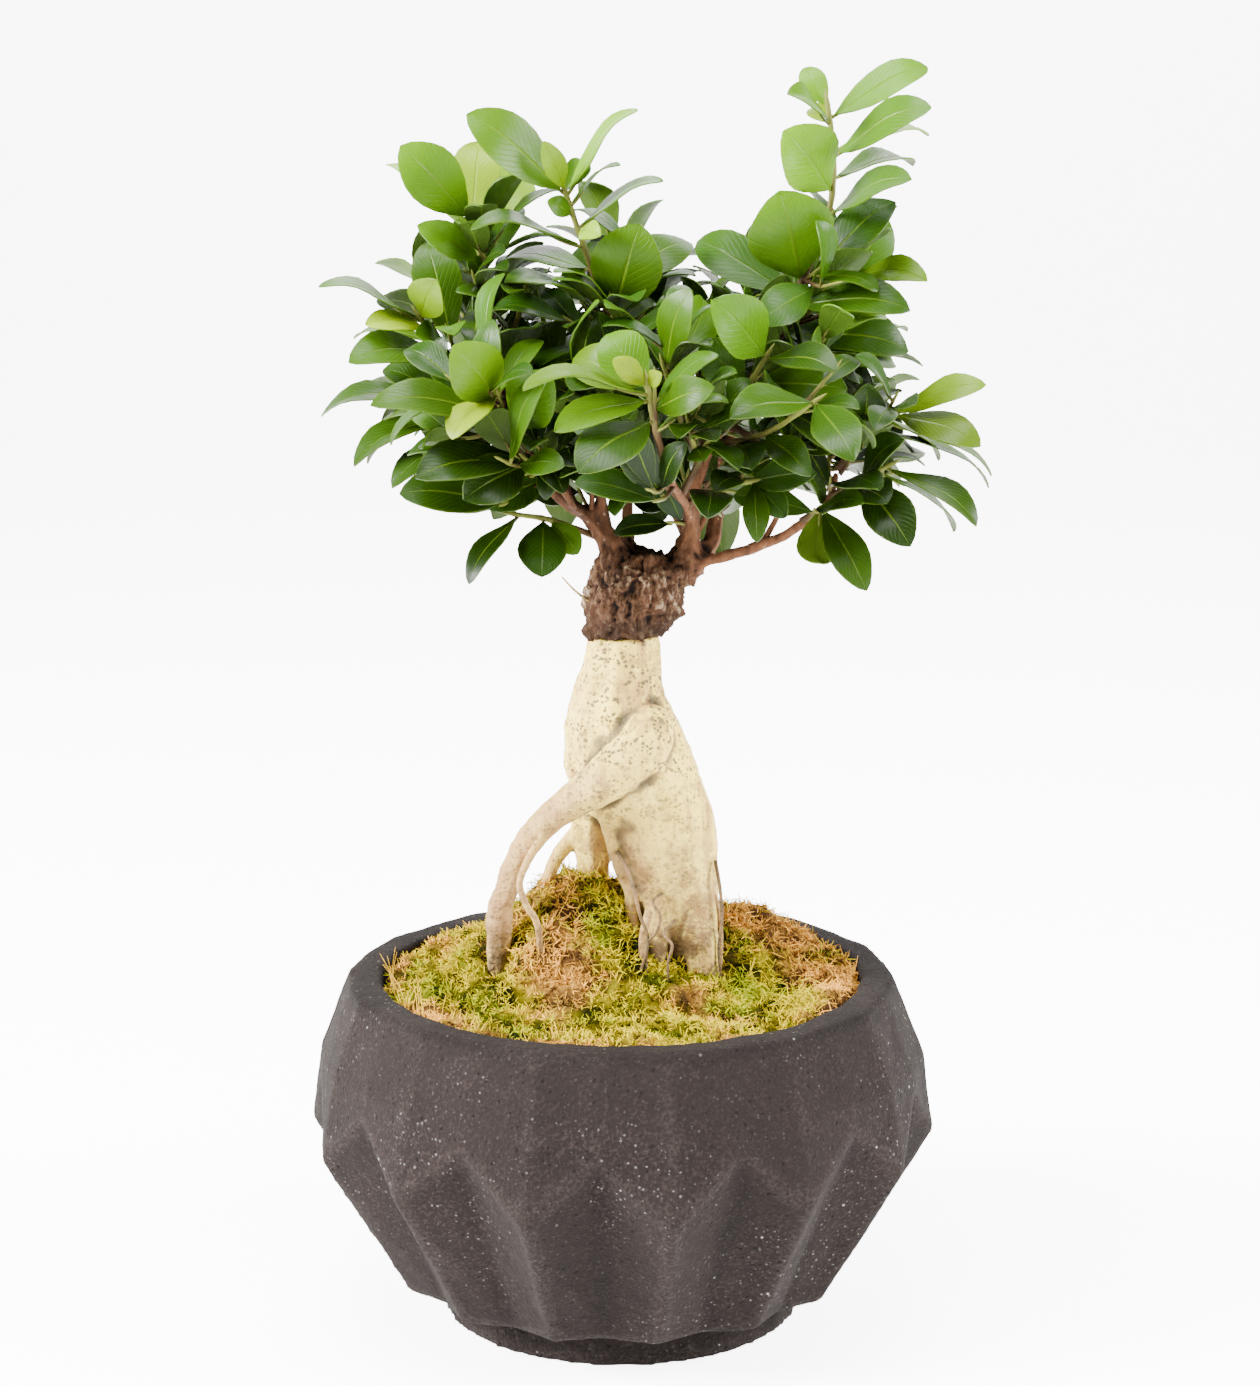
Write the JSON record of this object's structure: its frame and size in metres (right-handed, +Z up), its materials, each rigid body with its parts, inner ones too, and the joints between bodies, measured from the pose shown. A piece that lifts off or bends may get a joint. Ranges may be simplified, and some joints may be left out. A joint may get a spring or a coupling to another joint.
{
  "type": "ficus ginseng bonsai in a fluted bowl",
  "caption": "Potted ginseng fig bonsai: swollen bare roots, grafted stump and limbs, leafy shoots with glossy oval leaves, moss over soil in a folded round concrete bowl.",
  "frame": {"origin": "centre of the bowl's flat foot, on the surface that it stands on", "axes": "+Z up along the bowl's axis and the plant's height; the plant's front looks towards -Y, +X to the right"},
  "size_m": [0.2163, 0.2, 0.3994],
  "materials": {
    "pot": "rough dark grey-brown cast concrete with fine pale and dark grit",
    "soil": "dark moist potting soil",
    "moss_green": "yellow-green moss",
    "moss_dry": "dry orange-brown moss",
    "root": "smooth pale beige skin with fine grey flecks",
    "bark": "craggy brown bark",
    "foliage": "glossy waxy leaf, yellow-green when young, dark green when old, with a pale midrib"
  },
  "bodies": {
    "root": {"pot": "pot", "soil": "soil", "moss_dry_mound": "moss_dry", "moss_dry_right": "moss_dry", "moss_green": "moss_green", "rootstock": "root", "scion_wood": "bark", "shoot_upper_left": "foliage", "shoot_left_crown": "foliage", "shoot_far_left": "foliage", "shoot_left_front": "foliage", "shoot_left_low": "foliage", "shoot_left_under": "foliage", "shoot_low_twig": "foliage", "shoot_front_centre": "foliage", "shoot_front_low": "foliage", "shoot_front_crown": "foliage", "shoot_upper_right": "foliage", "shoot_right_side": "foliage", "shoot_right_inner": "foliage", "shoot_right_front": "foliage", "shoot_right_mid": "foliage", "shoot_right_low": "foliage", "shoot_right_hang": "foliage", "shoot_right_drop": "foliage", "shoot_back_left": "foliage", "shoot_back_centre": "foliage", "shoot_back_right": "foliage", "shoot_back_low_right": "foliage", "shoot_back_low_left": "foliage", "shoot_back_low": "foliage", "shoot_inner_left": "foliage", "shoot_inner_right": "foliage", "shoot_inner_front": "foliage", "shoot_inner_low_left": "foliage", "shoot_inner_mid": "foliage", "shoot_inner_low_right": "foliage", "shoot_inner_high_right": "foliage", "shoot_inner_crown": "foliage", "shoot_inner_high_left": "foliage", "shoot_back_side_left": "foliage", "shoot_back_side_right": "foliage"}
  },
  "joints": []
}
